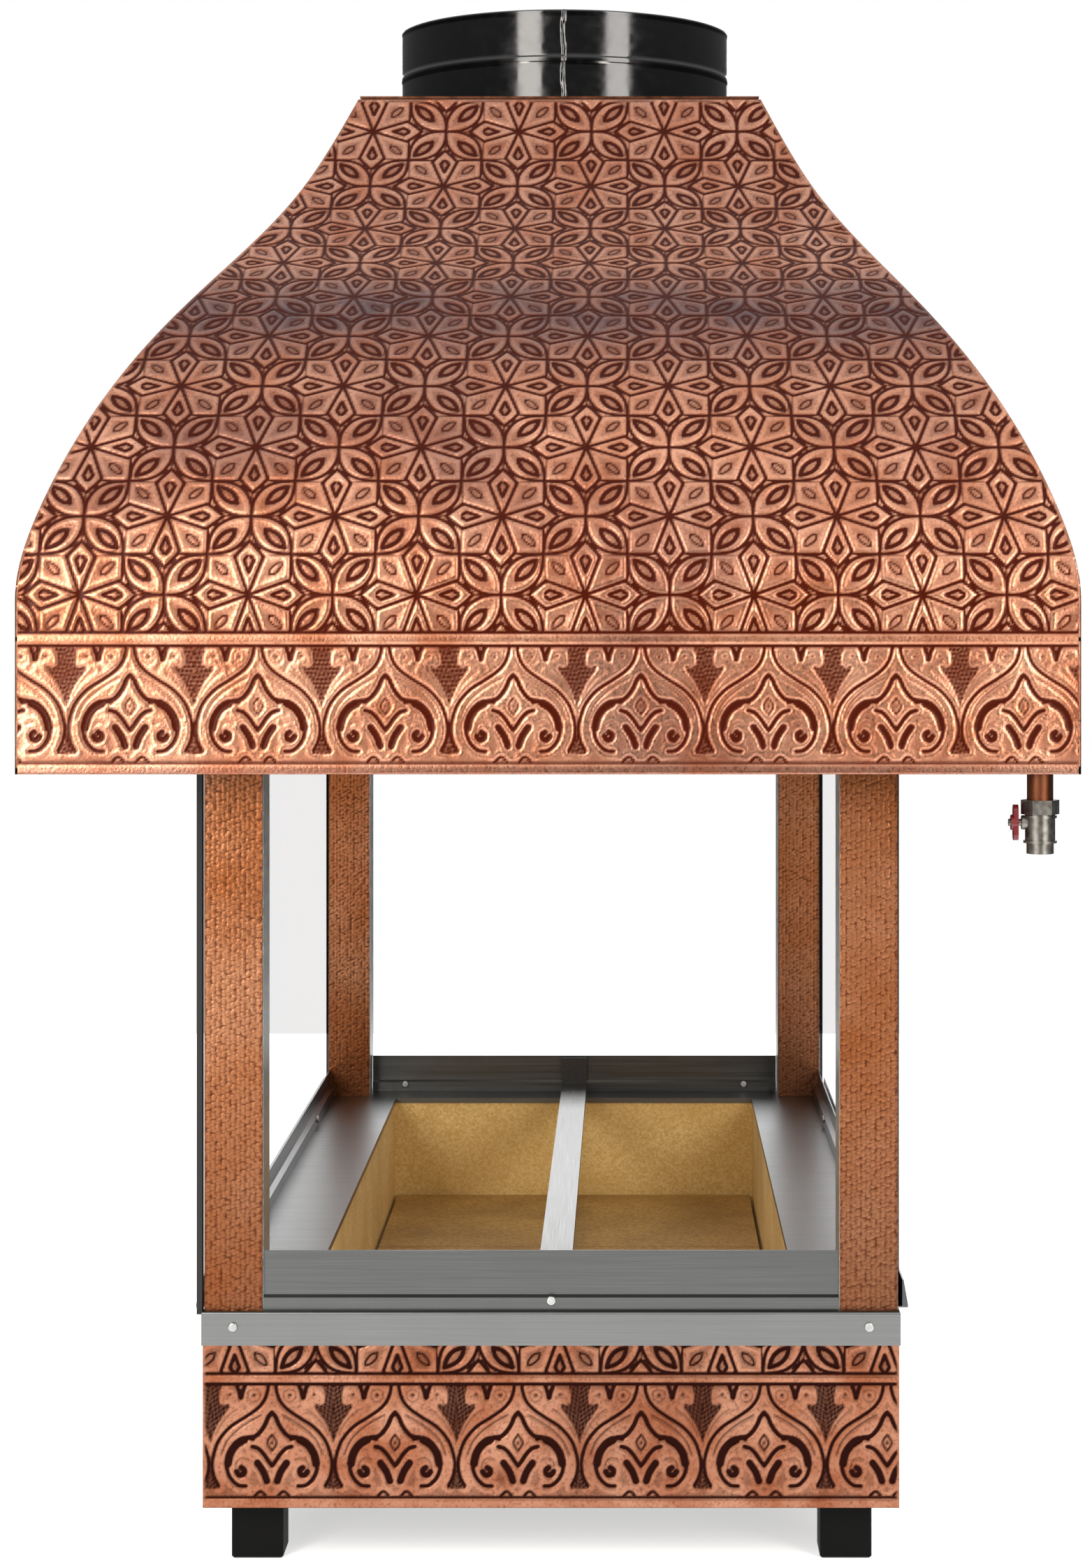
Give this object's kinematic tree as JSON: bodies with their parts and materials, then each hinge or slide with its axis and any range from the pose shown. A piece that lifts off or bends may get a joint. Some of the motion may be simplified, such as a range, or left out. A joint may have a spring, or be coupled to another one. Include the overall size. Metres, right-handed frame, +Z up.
{
  "type": "hooded charcoal grill",
  "caption": "Long charcoal grill with an embossed copper base and hood, hammered posts, side glass, lift-out divider bar, drain valve and round flue collar.",
  "frame": {"origin": "on the floor under the middle of the grill", "axes": "+Z up, -Y towards the cook at the front short end, +X to the cook's right"},
  "size_m": [0.885, 1.4, 1.417],
  "materials": {
    "foot_black": "satin black paint",
    "zinc_steel": "zinc plated steel",
    "copper": "embossed copper sheet with dark patina in the grooves",
    "hammered_copper": "finely hammered copper sheet",
    "stainless": "satin stainless",
    "dark_steel": "heat-dulled steel",
    "fire_board": "matt vermiculite fire board",
    "glass": "clear toughened glass",
    "seal_rubber": "black heat-proof gasket",
    "black_paint": "gloss black paint",
    "nickel": "nickel plated brass",
    "seat_plastic": "white PTFE",
    "lever_red": "red plastic"
  },
  "bodies": {
    "grill": {"foot_front_left": "foot_black", "foot_front_right": "foot_black", "foot_rear_left": "foot_black", "foot_rear_right": "foot_black", "foot_bolts": "zinc_steel", "post_bolts": "zinc_steel", "base_floor": "zinc_steel", "base_frame": "zinc_steel", "hood_frame": "zinc_steel", "hood_gutter": "zinc_steel", "base_panel_front": "copper", "base_panel_rear": "copper", "base_panel_left": "copper", "base_panel_right": "copper", "hood_front": "copper", "hood_rear": "copper", "hood_left": "copper", "hood_right": "copper", "hood_top_plate": "copper", "drain_pipe": "copper", "flue_rivets": "copper", "post_cladding_front_left": "hammered_copper", "post_cladding_front_right": "hammered_copper", "post_cladding_rear_left": "hammered_copper", "post_cladding_rear_right": "hammered_copper", "hearth_top": "stainless", "hearth_screws": "stainless", "apron_front": "stainless", "apron_rear": "stainless", "apron_left": "stainless", "apron_right": "stainless", "apron_screws": "stainless", "glass_rail_left": "stainless", "glass_rail_right": "stainless", "glass_rail_screws": "stainless", "glass_clips": "stainless", "post_tube_front_left": "stainless", "post_tube_front_right": "stainless", "post_tube_rear_left": "stainless", "post_tube_rear_right": "stainless", "firebox_pan": "dark_steel", "fireboard_front": "fire_board", "fireboard_rear": "fire_board", "fireboard_left": "fire_board", "fireboard_right": "fire_board", "floor_tiles": "fire_board", "glass_left": "glass", "glass_right": "glass", "glass_seals_left": "seal_rubber", "glass_seals_right": "seal_rubber", "flue_collar": "black_paint", "valve_body": "nickel", "valve_seats": "seat_plastic"},
    "divider": {"divider_bar": "stainless"},
    "drain_lever": {"valve_lever": "lever_red", "valve_stem": "stainless", "valve_ball": "nickel"}
  },
  "joints": [
    {"name": "divider_lift", "type": "slide", "parent": "grill", "child": "divider", "axis": [0, 0, 1], "range_m": [0, 0.25]},
    {"name": "drain_lever_turn", "type": "hinge", "parent": "grill", "child": "drain_lever", "pos_m": [0.39, -0.672, 0.646], "axis": [-1, 0, 0], "range_deg": [0, 90]}
  ]
}
